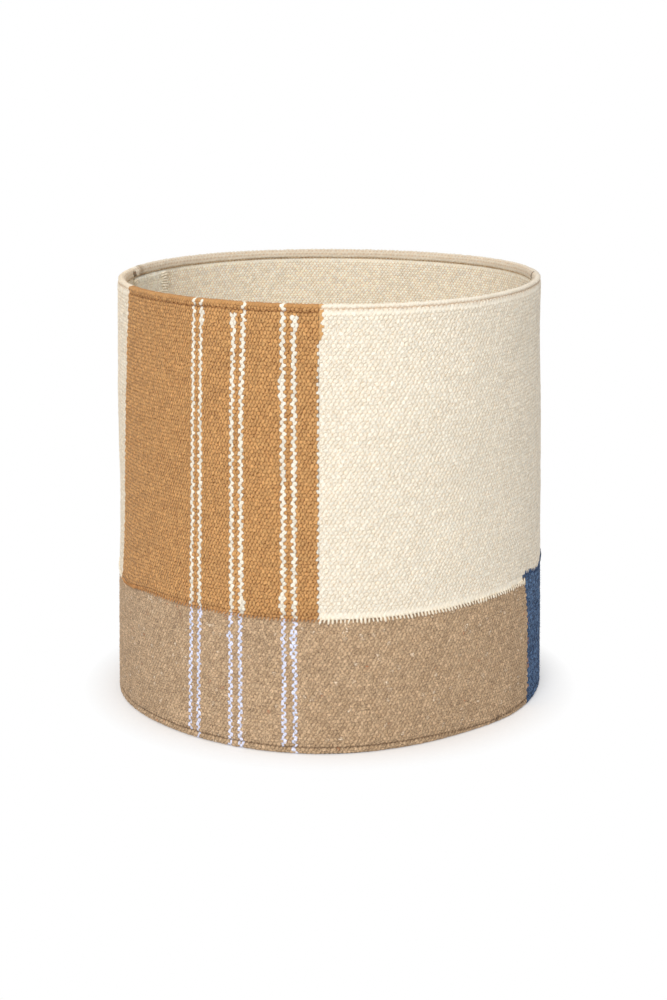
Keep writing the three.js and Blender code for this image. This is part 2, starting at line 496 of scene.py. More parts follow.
def new_tree(name, sizes):
    """A geometry node tree with named inputs for its sizes and its material."""
    tree = bpy.data.node_groups.new(name, "GeometryNodeTree")
    tree.interface.new_socket("Geometry", in_out="INPUT", socket_type="NodeSocketGeometry")
    for label, size in sizes.items():
        socket = tree.interface.new_socket(label, in_out="INPUT", socket_type="NodeSocketFloat")
        socket.default_value = size
    tree.interface.new_socket("Material", in_out="INPUT", socket_type="NodeSocketMaterial")
    tree.interface.new_socket("Geometry", in_out="OUTPUT", socket_type="NodeSocketGeometry")
    given = tree.nodes.new("NodeGroupInput")
    inputs = {socket.name: Field(tree, socket) for socket in given.outputs if socket.name}
    return tree, inputs


def end_tree(geometry, material):
    """Ends a tree with real geometry in its material."""
    whole = geometry.node("GeometryNodeRealizeInstances", {}, {0: geometry})
    dressed = whole.node("GeometryNodeSetMaterial", {}, {"Geometry": whole, "Material": material})
    dressed.feeds(dressed.tree.nodes.new("NodeGroupOutput"), 0)


def worked(piece, tree, material, sizes):
    """The plain mesh that a tree makes of a piece."""
    modifier = piece.modifiers.new(tree.name, "NODES")
    modifier.node_group = tree
    named = {"Material": material, **sizes}
    for item in tree.interface.items_tree:
        if item.in_out == "INPUT" and item.name in named:
            modifier[item.identifier] = named[item.name]
    depsgraph = bpy.context.evaluated_depsgraph_get()
    mesh = bpy.data.meshes.new_from_object(
        piece.evaluated_get(depsgraph), preserve_all_data_layers=True, depsgraph=depsgraph
    )
    name = piece.name
    bpy.data.objects.remove(piece)
    mesh.name = name
    done = bpy.data.objects.new(name, mesh)
    bpy.context.scene.collection.objects.link(done)
    return done


def lay(start, given, draft, spot):
    """Ends a tree that puts each point of a flat cloth at a spot, and keeps its pick and rib on it."""
    marked = start.node(
        "GeometryNodeStoreNamedAttribute",
        {"data_type": "FLOAT_VECTOR", "domain": "POINT"},
        {"Geometry": given["Geometry"], "Name": "weave", "Value": draft},
    )
    laid = start.node("GeometryNodeSetPosition", {}, {"Geometry": marked, "Position": spot})
    end_tree(laid, given["Material"])


def lining_tree():
    """Stands a flat cloth up inside the wall, with its edges tucked outwards behind the hems."""
    tree, given = new_tree(
        "woven lining",
        {"First azimuth": seam_turn, "Degrees a pick": 360 / lining_picks, "Rib": lining_rib, "Foot": 6.6,
         "Wall radius": 194.0, "Thickness": 1.5, "Tuck": 1.2},
    )
    start = Field(tree)
    draft = start.node("GeometryNodeInputPosition")
    pick, rib, side = draft.parts()
    z = given["Foot"] + rib * given["Rib"]
    tucked = given["Tuck"] * (between(z - tuck_above, 0, 1) + between((tuck_below - z) * 0.5, 0, 1))
    wave = 0.5 * drift(pick, rib, 4.0, 40, 24)
    radius = given["Wall radius"] + given["Thickness"] * side + tucked + wave
    turn = given["First azimuth"] + pick * given["Degrees a pick"]
    spot = start.node("ShaderNodeCombineXYZ", {}, dict(enumerate(stand(turn, radius, z))))
    lay(start, given, draft, spot)
    return tree


def between_colours(mask, first, second):
    """The first colour where the mask is 0 and the second where it is 1."""
    return mask.node("ShaderNodeMix", {"data_type": "RGBA"}, {0: mask, 6: first, 7: second}, out=2)


def woven(name, yarn, shadow, crease, grooves=(), smooth=(), stitch_shade=None, plain=0.24,
          grain=(1.9, 1.5, 0.5), slant=0.5, uneven=1.0, on_plan=None):
    """A material of weft-faced cloth. yarn gives a bead's colour and how deep the painted shade in the
    creases round it is, shadow is that painted shade's colour and crease its strength. grooves are rows
    that stitches pull in, painted darker as shade, as rib, depth and width, where the rib may change
    with the pick. smooth are flattened rows, as rib and width, with less painted shade. plain is how
    much the beads differ in tone, and uneven how far they stray. grain is how fine the fibres look along
    and up and how strong, and slant is the picks that they lean to a rib."""
    material, surface, start = new_material(name)
    if on_plan:
        x, y, z = start.node("ShaderNodeTexCoord", out=3).parts()
        pick, rib = x * (1 / on_plan[0]), y * (1 / on_plan[1])
    else:
        pick, rib, side = start.node("ShaderNodeAttribute", {"attribute_name": "weave"}, out=1).parts()
    bead = beads(pick, rib, 0.4 * slant, uneven)
    chance = by_chance(bead, 1)
    bead.hue = by_chance(bead, 5)
    twist = (2 * math.pi * (0.95 * bead.across - 1.1 * bead.rise + bead.hue)).math("SINE")
    slanted = {0: (pick - slant * rib) * grain[0], 1: rib * grain[1], 2: 0.0}
    spot = start.node("ShaderNodeCombineXYZ", {}, slanted)
    fibre = start.node("ShaderNodeTexNoise", {}, {"Vector": spot, "Scale": 1.0, "Detail": 3.0})
    bead.fibre = fibre
    rough = 1.0
    for line, width in smooth:
        rough = rough * (1 - 0.75 * hill(rib, line, width))
    gap = between(bead.spread - 0.12 * bead.across * bead.across + 1.8 * (fibre - 0.5), 0, 1.4)
    colour, depth = yarn(bead)
    # Painted shade: the creases between beads are darkened towards the shadow colour.
    colour = between_colours(between(crease * rough * depth * gap * gap, 0, 1), colour, shadow)
    # Painted shade along the grooves of the stitch rows, deepest between the beads.
    pulled = 0.0
    for line, depth, width in grooves:
        line = line(pick) if callable(line) else line
        pulled = (depth * hill(rib, line, width) * (0.35 + 0.75 * bead.spread)).math("MAXIMUM", pulled)
    if grooves:
        colour = between_colours(between(pulled, 0, 1), colour, stitch_shade or shadow)
    tone = 1 + rough * (plain * (chance - 0.5) + 0.12 * twist) + grain[2] * (fibre - 0.5)
    tone = tone + 0.02 * drift(pick, rib, 6.0, 40, 22)
    tinted(colour, tone).feeds(surface, "Base Color")
    height = rough * (dome(bead.spread) + 0.22 * twist) + 0.4 * fibre
    start.node("ShaderNodeBump", {}, {"Height": height, "Distance": 0.0006}).feeds(surface, "Normal")
    surface.inputs["Roughness"].default_value = 0.9
    surface.inputs["Specular IOR Level"].default_value = 0.25
    surface.inputs["Sheen Weight"].default_value = 0.08
    return material


def lining_yarn(bead):
    return between_colours(bead.hue, dye(255, 252, 238), dye(255, 247, 225)), 1.0


hem_shadow = (156.3, 0.38, 0.5)
lining_cloth = woven("cream lining cloth", lining_yarn, dye(216, 168, 110), 0.8, [hem_shadow],
                     [(155.3, 0.6)], dye(180, 140, 96), 0.2, slant=-0.5, uneven=0.4)
lining = cut_cloth("lining_cloth_wall", (0, lining_picks), (0, lining_ribs), finer=0.5, inward=True)
lining = worked(lining, lining_tree(), lining_cloth, {})
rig.replaces(lining, "lining_wall")
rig.slot(lining, "lining_cloth")
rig.ride(lining, "root")
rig.sheet(lining, flat=(1.219, 0.387), held="stretched", rests_on=["felt_stiffener"])


# Base
# The cloth under the foot, a stiff board on it, and the lining's round floor on top.
# The base cloth turns up at its edge and is caught in the stitches of the foot's hem.
floor_radius = 198.9
floor_pick = 1.8
floor_rib = 2.45
base_weave = (0.0019, 0.0032)


def base_yarn(bead):
    return between_colours(bead.hue, dye(206, 186, 160), dye(180, 158, 130)), 1.0


base_look = woven("plain base cloth", base_yarn, dye(120, 98, 74), 0.6, on_plan=base_weave)
base_outline = [(0, 0.3), (60, 0.3), (120, 0.3), (180, 0.3), (188.6, 0.5), (190.9, 1.6), (191.8, 3.5),
                (191.8, 9.0), (190.4, 9.5), (189.2, 9.0), (189.2, 3.7), (188.4, 2.5), (0, 2.45)]
base_cloth = turned("base_cloth_round", base_outline, base_look)
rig.replaces(base_cloth, "base_cloth")
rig.slot(base_cloth, "taupe_cloth")
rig.ride(base_cloth, "root")
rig.sheet(base_cloth, flat=(0.395, 0.395), area=0.1225, held="stretched", rests_on=["foot_hoop_wire"])

board_look, surface, start = new_material("grey board")
place = start.node("ShaderNodeTexCoord", out=3)
pulp = start.node("ShaderNodeTexNoise", {}, {"Vector": place, "Scale": 260.0, "Detail": 5.0})
tinted(dye(158, 146, 130), 0.8 + 0.4 * pulp).feeds(surface, "Base Color")
(0.75 + 0.3 * pulp).feeds(surface, "Roughness")
board_outline = [(0, 2.55), (187.4, 2.55), (188.2, 3.2), (188.2, 4.9), (187.4, 5.5), (0, 5.5)]
board = turned("base_board_round", board_outline, board_look)
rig.replaces(board, "base_board")
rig.slot(board, "base_board")
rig.ride(board, "root")


def floor_tree():
    """Lays a flat cloth on the board, with its beads up, and turns its edge up to the wall."""
    tree, given = new_tree(
        "woven floor",
        {"Pick": floor_pick, "Rib": floor_rib, "Relief": 0.5, "Top": 7.2, "Thickness": 1.5,
         "Flat radius": 186.5, "Rise": 0.827, "Run": 0.562},
    )
    start = Field(tree)
    draft = start.node("GeometryNodeInputPosition")
    pick, rib, side = draft.parts()
    bead = beads(pick, rib)
    z = given["Top"] + given["Relief"] * (dome(bead.spread) - 0.6) * (1 - side) - given["Thickness"] * side
    x, y = pick * given["Pick"], rib * given["Rib"]
    away = (x * x + y * y).math("SQRT")
    beyond = between(away - given["Flat radius"], 0, 100)
    turn = x.math("ARCTAN2", y * -1) * (180 / math.pi)
    soft = swell(turn, 0.02) * away * (1 / 190)
    drawn_in = (away - beyond * (1 - given["Run"]) + soft) / away.math("MAXIMUM", 1.0) * mm
    places = {0: x * drawn_in, 1: y * drawn_in, 2: (z + beyond * given["Rise"]) * mm}
    lay(start, given, draft, start.node("ShaderNodeCombineXYZ", {}, places))
    return tree


def floor_edge(pick):
    """How many ribs the round floor reaches from its middle, at a pick."""
    return math.sqrt(max(floor_radius ** 2 - (pick * floor_pick) ** 2, 0.0)) / floor_rib


floor_cloth = cut_cloth(
    "base_lining_round", (-110.5, 110.5), (-81.5, 81.5), finer=1,
    first=lambda pick: -floor_edge(pick), last=floor_edge,
)
floor_cloth = worked(floor_cloth, floor_tree(), lining_cloth, {})
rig.replaces(floor_cloth, "base_lining")
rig.slot(floor_cloth, "lining_cloth")
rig.ride(floor_cloth, "root")
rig.sheet(floor_cloth, flat=(0.3978, 0.3978), area=0.1243, held="laid", rests_on=["base_board_round"])


# Outer wall
# Weft-faced cotton cloth in colour blocks: tan with cream stripes and cream above, taupe with lilac
# stripes and blue below. Both edges roll over the hoops, turn down inside and are stitched through.
# Ribs are counted up from the foot's edge, and picks from the left edge of each colour block.
join_z = 124.4
join_rib = 38
step_turn, step_ribs = 65.1, 2.0
lower_rib = join_z / join_rib
upper_rib = 3.29
bottom_rib, top_rib = -4.2, 124.55
foot_stitch_rib, rim_stitch_rib = 2.0, 119.1
roll_rib = 119.6
inside_rib = 122.3
jog_rib = 111
notch_pick, notch_rib = 292.5, 0.6
rim_fold_pick = 166
roll_shade_from, roll_shade_over = 50, 120
tan_left, tan_right = -78.2, -2.8
blue_left = 68.0
taupe_picks, blue_picks = 322, 326
tan_picks, cream_picks, sliver_picks = 150, 430, 56
taupe_pitch = (blue_left - seam_turn) / taupe_picks
blue_pitch = 181.3 / blue_picks
tan_pitch = (tan_right - tan_left) / tan_picks
cream_pitch = 252.1 / cream_picks
sliver_pitch = (tan_left - seam_turn) / sliver_picks
lean_turn, lean_degrees = -85, 15
wall_metres_a_degree = 0.00349
wall_metres_a_rib = 0.00328
cream_yarn = dye(252, 246, 230)
tan_yarn = dye(220, 169, 109)
tan_shade = dye(106, 62, 26)
stripe_yarn = dye(252, 244, 226)
lilac_yarn = dye(230, 234, 255)
cream_shadow = dye(206, 176, 134)
# The colour of painted shade in the rim's folds.
seam_fold_shade = dye(112, 96, 78)


def foot_line(pick):
    """The rib that the foot's stitches run along: they dip towards the notch where the hem's ends meet."""
    return foot_stitch_rib - 0.9 * hill(pick, notch_pick - 8, 30)


def sole_shadow_line(pick):
    """The rib where the foot is pressed to the floor, painted dark as contact shadow only at the front."""
    return -0.1 - 3 * (1 - hill(pick, 203, 42))


def lean(turn, z):
    """Where a pick that starts at an azimuth on the foot stands at height z. The weave leans forward at
    the left, is drawn back at the blue block's corner and is pulled a little under the rim."""
    off = (turn + (180 - lean_turn)) % 360 - 180
    forward = lean_degrees * hill(off, 0, 39) * z * (1 / basket_height)
    corner = 1.9 * hill(turn, blue_left, 9) * hill(z, 126, 26)
    pulled = 0.85 * hill(turn, -24, 6) * hill(z, 400, 70)
    return turn + forward - corner + pulled


def dip(turn, z):
    """How far the join of the bands sags on both sides."""
    return (5.5 * hill(turn, -70, 9) + 6.5 * hill(turn, 78, 8)) * hill(z, 124, 40)


def wall_tree():
    """Rolls a flat cloth over the wires at the top and the bottom, with its beads outside."""
    tree, given = new_tree(
        "woven wall",
        {"First azimuth": 0.0, "Degrees a pick": 0.55, "First pair": -999.0, "Pair spacing": 26.5,
         "Spread": 0.0, "Dip": 0.0, "Relief": 0.9, "Thickness": 1.9, "Stitch pull": 1.3,
         "Rim line": rim_stitch_rib},
    )
    start = Field(tree)
    draft = start.node("GeometryNodeInputPosition")
    pick, rib, side = draft.parts()
    bead = beads(pick, rib)
    plump = 0.75 + 0.5 * by_chance(bead, 1)
    relief = given["Relief"] * (dome(bead.spread) * plump - 0.5) * (1 - side)

    pairs = 0.0
    for i in range(3):
        off = pick - given["First pair"] - given["Pair spacing"] * i
        pairs = pairs + off * hill(off, 0, 4.2)
    placed = pick + given["Spread"] * pairs + 0.2 * drift(pick, rib, 2.0, 9, 5)
    upright = given["First azimuth"] + placed * given["Degrees a pick"]

    raised = rib + 0.12 * drift(pick, rib, 3.0, 16, 3)
    z = raised * lower_rib + between(raised - join_rib, 0, 1000) * (upper_rib - lower_rib)
    z = z - dip(upright, z)
    bulge = 0.5 * between(rib - roll_rib, 0, 1) + 0.5 * between(1.4 - rib, 0, 1)
    foot_rib = foot_stitch_rib + given["Dip"] * (foot_line(pick) - foot_stitch_rib)
    pulls = given["Stitch pull"] * (hill(rib, given["Rim line"], 0.4) + hill(rib, foot_rib, 0.4))
    thick = roll_radius - 0.4 + bulge - pulls + relief - given["Thickness"] * side
    over = between((z - rim_roll_z) * (1 / roll_radius), 0, math.pi)
    under = between((foot_roll_z - z) * (1 / roll_radius), 0, math.pi)
    half_turn = roll_radius * math.pi
    down = between(z - rim_roll_z - half_turn, 0, 100) - between(foot_roll_z - z - half_turn, 0, 100)
    height = between(z, foot_roll_z, rim_roll_z) + thick * (over.math("SINE") - under.math("SINE")) - down
    radius = roll_centre + thick * (over.math("COSINE") + under.math("COSINE") - 1)
    radius = radius + 0.35 * drift(pick, rib, 4.0, 30, 14)
    places = dict(enumerate(stand(lean(upright, z), radius, height.math("MAXIMUM", 0.0))))
    lay(start, given, draft, start.node("ShaderNodeCombineXYZ", {}, places))
    return tree


rolled = wall_tree()


def stripes(bead, lines):
    """1 on the beads of upright lines two picks wide, given as first pick, lowest and highest rib."""
    found = 0.0
    for first, low, high in lines:
        mask = (abs(bead.pick - (first + 0.5)) < 1) * (bead.rib > low - 0.5) * (bead.rib < high - 0.5)
        found = mask.math("MAXIMUM", found)
    return found


def tan_cloth_yarn(bead):
    """Three pairs of cream stripes on tan. The short lines make them wider where they start or stray.
    The rim roll gets painted shade.
    """
    pairs = ((78, 30, 140), (83, 30, 121), (104, 30, 118), (109, 30, 140), (132, 30, 140), (137, 30, 118))
    wider = ((84, 115, 119), (103, 114, 118), (138, 114, 118), (131, 97, 103), (110, 39, 43), (131, 40, 45))
    lines = stripes(bead, pairs + wider)
    tan = between_colours(0.6 * bead.hue, tan_yarn, dye(202, 147, 90))
    # Painted shade: the rim roll is darkened towards tan_shade.
    tan = between_colours(0.2 * (bead.rib > roll_rib), tan, tan_shade)
    tan = between_colours(lines, tan, stripe_yarn)
    beyond = (bead.pick > tan_picks - 0.5) * (bead.rib < jog_rib)
    return between_colours(beyond, tan, cream_yarn), 1 - 0.65 * lines.math("MAXIMUM", beyond)


def cream_cloth_yarn(bead):
    """Cream, with tan above the jog at its left edge, painted shade on the rim roll that deepens towards
    the back and is mostly left off a small patch by the closing seam, and painted shade in two small
    folds in the rim: one at the closing seam and one at the far right."""
    pick, rib = bead.pick, bead.rib
    cream = between_colours(0.6 * bead.hue, cream_yarn, dye(249, 237, 215))
    cream = between_colours((pick < 1.5) * (rib > jog_rib), cream, tan_yarn)
    # Painted shade on the rim roll: deeper towards the back, much less on a small patch by the closing seam, and a
    # narrow darker band of it beside that patch.
    roll_shade_back = between((pick - roll_shade_from) * (1 / roll_shade_over), 0, 1)
    darker = 0.12 + 0.24 * roll_shade_back - 0.3 * (pick > cream_picks - 6)
    darker = darker + 0.55 * hill(pick, cream_picks - 8.5, 2)
    cream = between_colours(darker * (rib > roll_rib), cream, dye(178, 160, 136))
    # Painted shade in the fold at the closing seam and in a small fold at the far right.
    seam = (pick > cream_picks - 2.5) * (rib > inside_rib)
    folds = seam.math("MAXIMUM", (abs(pick - rim_fold_pick) < 1.1) * (rib > inside_rib - 1.3))
    return between_colours(0.9 * folds, cream, seam_fold_shade), 1.0


def cream_sliver_yarn(bead):
    """A cream a little darker than the front panels', painted shade for its place on the far left side.
    Painted shade darkens its roll and the seam's fold at its left end, and it is tan at its right edge.
    """
    # Painted shade: a darker cream than the front panels', darker still on the roll and in the seam's fold.
    cream = between_colours(bead.hue, dye(250, 241, 222), dye(246, 232, 208))
    cream = between_colours(0.22 * (bead.rib > roll_rib), cream, cream_shadow)
    cream = between_colours(0.9 * (bead.pick < 1.4) * (bead.rib > inside_rib), cream, seam_fold_shade)
    return between_colours(bead.pick > sliver_picks - 0.5, cream, tan_yarn), 1.0


def taupe_cloth_yarn(bead):
    """The same three pairs in lilac on taupe, one of them broken for a rib. The taupe is flecked with
    cream, brown and rust, and has painted shade in the notch in the foot where the hem's ends meet."""
    pairs = ((129, 2, 40), (134, -9, 40), (152, 34, 40), (152, -9, 33), (157, -9, 40), (178, 2, 40),
             (183, -9, 40))
    wider = ((135, 35, 38), (151, 30, 33), (158, -9, 3), (182, 27, 35))
    lines = stripes(bead, pairs + wider)
    chance = by_chance(bead, 8)
    speck = between(bead.fibre * 8 - 4.1, 0, 1)
    taupe = between_colours(0.6 * bead.hue, dye(214, 184, 149), dye(180, 149, 115))
    taupe = between_colours(between(3.5 - bead.fibre * 8, 0, 1), taupe, dye(128, 100, 74))
    taupe = between_colours((chance > 0.97) * speck, taupe, dye(240, 228, 208))
    taupe = between_colours((chance < 0.016) * speck, taupe, dye(88, 72, 58))
    taupe = between_colours((chance < 0.007) * speck, taupe, dye(196, 120, 78))
    taupe = between_colours(lines * (abs(bead.across) < 0.62), taupe, lilac_yarn)
    # Painted shade: a dark spot in the notch where the hem's ends meet.
    notch = hill(bead.pick, notch_pick, 1.0) * hill(bead.rib, notch_rib, 0.9)
    taupe = between_colours(notch, taupe, dye(58, 42, 30))
    beyond = (bead.pick > taupe_picks - 0.5).math("MAXIMUM", bead.rib > join_rib + 0.4)
    return between_colours(beyond, taupe, dye(74, 98, 132)), 1 - 0.5 * lines


def blue_cloth_yarn(bead):
    """Softly spun blue, mottled light and dark, with a few tan fibres at its left edge."""
    deeper = between(0.6 * bead.hue + 4 * (bead.fibre - 0.42), 0, 1)
    blue = between_colours(deeper, dye(110, 146, 190), dye(36, 60, 95))
    edge = (bead.pick < 1.5) * (by_chance(bead, 8) > 0.7) * between(bead.fibre * 5 - 1.8, 0, 1)
    return between_colours(edge, blue, dye(176, 122, 88)), 1.0


def wall_panel(name, node, slot, look, first_turn, pitch, picks, ribs, pairs=None, **sizes):
    """One colour block. pitch is degrees to a pick, and picks count from the block's left edge."""
    step = round((step_turn - first_turn) / pitch)

    def join(pick):
        return join_rib + step_ribs * (pick > step + 0.1)

    if ribs[0] < 0:
        flat = cut_cloth(name, picks, ribs, last=join)
    else:
        flat = cut_cloth(name, picks, ribs, first=join)
    sizes.update({"First azimuth": first_turn, "Degrees a pick": pitch})
    if pairs:
        sizes.update({"First pair": pairs[0], "Pair spacing": pairs[1], "Spread": 0.17})
    panel = worked(flat, rolled, look, sizes)
    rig.replaces(panel, node)
    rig.slot(panel, slot)
    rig.ride(panel, "root")
    width = (picks[1] - picks[0]) * pitch * wall_metres_a_degree
    tall = (ribs[1] - ribs[0]) * wall_metres_a_rib
    inside = ["foot_hoop_wire", "rim_hoop_wire", "felt_stiffener"]
    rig.sheet(panel, flat=(width, tall), held="stretched", rests_on=inside)


cream_rise = 0.85
# Grooves, given as rib, depth and width: painted shade along the stitch rows in the hems and by the join of the bands.
rim_line = (rim_stitch_rib, 0.85, 0.42)
cream_line = (rim_stitch_rib + cream_rise, 0.62, 0.36)
inner_lines = ((rim_stitch_rib + 3.4, 0.5, 0.25), (rim_stitch_rib + 4.4, 0.5, 0.25))
tan_lines = (rim_line, (rim_stitch_rib + 2.4, 0.35, 0.35), (join_rib + 1, 0.4, 0.5))
roll = (rim_stitch_rib + 2.0, 0.9)
bright_line = (rim_stitch_rib - 0.2, 0.4)
plain_rows = (roll, bright_line, (rim_stitch_rib + 4.6, 1.2), (join_rib + 0.9, 0.9))
cream_lines = (cream_line, *inner_lines)
cream_groove_shade = dye(186, 136, 84)
tan_look = woven("tan cloth", tan_cloth_yarn, tan_shade, 1.1, tan_lines, [roll])
cream_look = woven("cream cloth", cream_cloth_yarn, cream_shadow, 0.64, cream_lines, plain_rows,
                   cream_groove_shade, 0.1)
sliver_look = woven("cream sliver cloth", cream_sliver_yarn, cream_shadow, 0.64, cream_lines, plain_rows,
                    cream_groove_shade, 0.1)
# Painted shade in the foot's stitch groove and under the join, and painted contact shadow where the sole meets the
# floor at the front.
taupe_lines = ((foot_line, 0.7, 0.35), (sole_shadow_line, 1.0, 0.35), (join_rib - 0.3, 0.5, 0.5))
taupe_look = woven("taupe cloth", taupe_cloth_yarn, dye(90, 67, 45), 0.62, taupe_lines,
                   plain=0.25, grain=(1.6, 2.4, 1.7))
# Painted shade in the blue's foot stitch groove.
blue_look = woven("blue cloth", blue_cloth_yarn, dye(18, 32, 56), 0.8,
                  [(foot_stitch_rib, 0.7, 0.35)], plain=0.3)

lower, upper = (bottom_rib, join_rib + step_ribs), (join_rib, top_rib)
wall_panel("taupe_panel", "taupe_striped_panel", "taupe_cloth", taupe_look, seam_turn, taupe_pitch,
           (0, taupe_picks), lower, Dip=1.0, Relief=0.75)
wall_panel("blue_panel_cloth", "blue_panel", "blue_cloth", blue_look, blue_left, blue_pitch,
           (0, blue_picks), lower)
wall_panel("tan_panel", "tan_striped_panel", "tan_cloth", tan_look, tan_left, tan_pitch,
           (0, tan_picks), upper, (81.0, 27.0))
higher = {"Rim line": rim_stitch_rib + cream_rise}
wall_panel("cream_panel_right", "cream_right_panel", "cream_cloth", cream_look, tan_right, cream_pitch,
           (0, cream_picks // 2), upper, **higher)
wall_panel("cream_panel_back", "cream_right_panel", "cream_cloth", cream_look, tan_right, cream_pitch,
           (cream_picks // 2, cream_picks), upper, **higher)
wall_panel("cream_panel_left", "cream_left_panel", "cream_cloth", sliver_look, seam_turn, sliver_pitch,
           (0, sliver_picks), upper, **higher)


# Stitching
# Cotton thread: a running row through each hem outside and inside, slanted overcast stitches that join
# the two bands, and a closing row up the back left, all sewn by hand and so a little uneven.


def at_random(field, low, high, seed):
    """A number drawn anew for each point."""
    settings = {"data_type": "FLOAT"}
    return field.node("FunctionNodeRandomValue", settings, {2: low, 3: high, 8: seed}, out=1)


def stitch_tree():
    """Lays plump stitches along a guide, evenly spaced and turned by the guide's own slant."""
    tree, given = new_tree(
        "stitches",
        {"Spacing": 6.0, "Length": 4.0, "Width": 1.1, "Height": 0.9, "Scatter": 0.15},
    )
    start = Field(tree)
    curve = start.node("GeometryNodeMeshToCurve", {}, {"Mesh": given["Geometry"]})
    sizes = {"Curve": curve, "Length": given["Spacing"] * mm}
    points = start.node("GeometryNodeCurveToPoints", {"mode": "LENGTH"}, sizes)
    tangent = Field(tree, points.socket.node.outputs["Tangent"])
    x, y, z = start.node("GeometryNodeInputPosition").parts()
    outward = start.node("ShaderNodeCombineXYZ", {}, {0: x, 1: y, 2: 0.0})
    facing = start.node("FunctionNodeAlignRotationToVector", {"axis": "Z"}, {"Vector": outward})
    along = start.node(
        "FunctionNodeAlignRotationToVector", {"axis": "X", "pivot_axis": "Z"},
        {"Rotation": facing, "Vector": tangent},
    )
    own_slant = start.node("GeometryNodeInputNamedAttribute", {"data_type": "FLOAT"}, {"Name": "slant"})
    angle = own_slant + given["Scatter"] * at_random(start, -1.0, 1.0, 11)
    lie = start.node("FunctionNodeAxisAngleToRotation", {}, {"Axis": (0, 0, 1), "Angle": angle})
    turned_to = start.node(
        "FunctionNodeRotateRotation", {"rotation_space": "LOCAL"}, {"Rotation": along, "Rotate By": lie}
    )
    longer = 1 + given["Scatter"] * at_random(start, -1.0, 1.0, 12)
    fuller = 1 + given["Scatter"] * at_random(start, -1.0, 1.0, 13)
    scale = start.node(
        "ShaderNodeCombineXYZ", {},
        {0: given["Length"] * longer, 1: given["Width"] * fuller, 2: given["Height"] * fuller},
    )
    thread = start.node("GeometryNodeMeshUVSphere", {}, {"Segments": 6, "Rings": 5, "Radius": 0.5 * mm})
    rows = start.node(
        "GeometryNodeInstanceOnPoints", {},
        {"Points": points, "Instance": thread, "Rotation": turned_to, "Scale": scale},
    )
    end_tree(rows, given["Material"])
    return tree


sewn = stitch_tree()


def thread_look(name, light, dark):
    """Twisted cotton thread, a little uneven in its dye."""
    material, surface, start = new_material(name)
    place = start.node("ShaderNodeTexCoord", out=3)
    uneven = start.node("ShaderNodeTexNoise", {}, {"Vector": place, "Scale": 420.0, "Detail": 2.0})
    between_colours(between(uneven * 3 - 1, 0, 1), dark, light).feeds(surface, "Base Color")
    surface.inputs["Roughness"].default_value = 0.85
    return material


def stitches(name, slot, look, places, closed=False, **sizes):
    """A row of stitches along places, given as azimuth, radius, z and slant in degrees."""
    mesh = bpy.data.meshes.new(name)
    ends = [(i, i + 1) for i in range(len(places) - 1)] + ([(len(places) - 1, 0)] if closed else [])
    mesh.from_pydata([stand(turn, radius, z) for turn, radius, z, slant in places], ends, [])
    mesh.attributes.new("slant", "FLOAT", "POINT")
    mesh.attributes["slant"].data.foreach_set("value", [math.radians(slant) for *spot, slant in places])
    guide = bpy.data.objects.new(name, mesh)
    bpy.context.scene.collection.objects.link(guide)
    sewing = worked(guide, sewn, look, sizes)
    sewing.data.shade_smooth()
    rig.slot(sewing, slot)
    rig.ride(sewing, "root")


def ring(first, last, radius, z):
    """Places a degree apart round the basket."""
    count = round(abs(last - first)) + 1
    return [(turn, radius, z, 0.0) for turn in np.linspace(first, last, count)]


cream_thread = thread_look("cream thread", dye(255, 249, 233), dye(238, 223, 196))
tan_thread = thread_look("tan thread", dye(206, 154, 98), dye(176, 122, 70))
taupe_thread = thread_look("taupe thread", dye(150, 122, 92), dye(104, 82, 60))
blue_thread = thread_look("blue thread", dye(62, 88, 124), dye(38, 56, 86))

hem_radius, join_radius, closing_radius = 199.1, 200.5, 200.1
inner_radius, inner_z = 193.1, 389.2
floor_row_radius, floor_row_z = 192.4, 16.2
tan_rim_z, cream_rim_z, blue_foot_z = 391.2, 393.4, 6.6
under_rim_z = 390
running = {"Spacing": 5.2, "Length": 3.4, "Width": 0.9, "Height": 0.8}
tan_rim = lean(tan_left, under_rim_z), lean(tan_right, under_rim_z)
stitches("rim_stitches_tan", "tan_cloth", tan_thread, ring(*tan_rim, hem_radius, tan_rim_z), **running)
cream_rim = ring(tan_rim[1] + 0.6, tan_rim[0] + 359.4, hem_radius, cream_rim_z)
stitches("rim_stitches_cream", "cream_cloth", cream_thread, cream_rim, **running)
taupe_foot = []
for turn in np.linspace(seam_turn, blue_left, 180):
    line = foot_line((turn - seam_turn) / taupe_pitch)
    taupe_foot.append((turn, hem_radius, line * lower_rib, 0.0))
stitches("foot_stitches_taupe", "taupe_cloth", taupe_thread, taupe_foot, **running)
blue_foot = ring(blue_left + 0.6, 249.0, hem_radius, blue_foot_z)
stitches("foot_stitches_blue", "blue_cloth", blue_thread, blue_foot, **running)
hem_thread = thread_look("hem thread", dye(226, 200, 164), dye(168, 128, 86))
inner_row = ring(-180, 179, inner_radius, inner_z)
closer = {"Spacing": 3.2, "Length": 2.9, "Width": 1.3, "Height": 1.0}
stitches("inner_rim_stitches", "cream_cloth", hem_thread, inner_row, closed=True, **closer)
floor_row = ring(-180, 179, floor_row_radius, floor_row_z)
stitches("floor_stitches", "lining_cloth", cream_thread, floor_row, closed=True, **running)


def join_slant(turn):
    """The hand turned round near the middle: strokes lean right on the left of it and left on the right."""
    return 90 + 24 * between((turn - 8) / 12, -1, 1)


def join_row(first, last, rise, slant):
    """Places along the join of the bands, a rise above it. slant is in degrees, or gives them."""
    places = []
    for turn in np.linspace(first, last, round(last - first) + 1):
        angle = slant(turn) if callable(slant) else slant
        places.append((turn, join_radius, join_z + rise - dip(turn, join_z), angle))
    return places


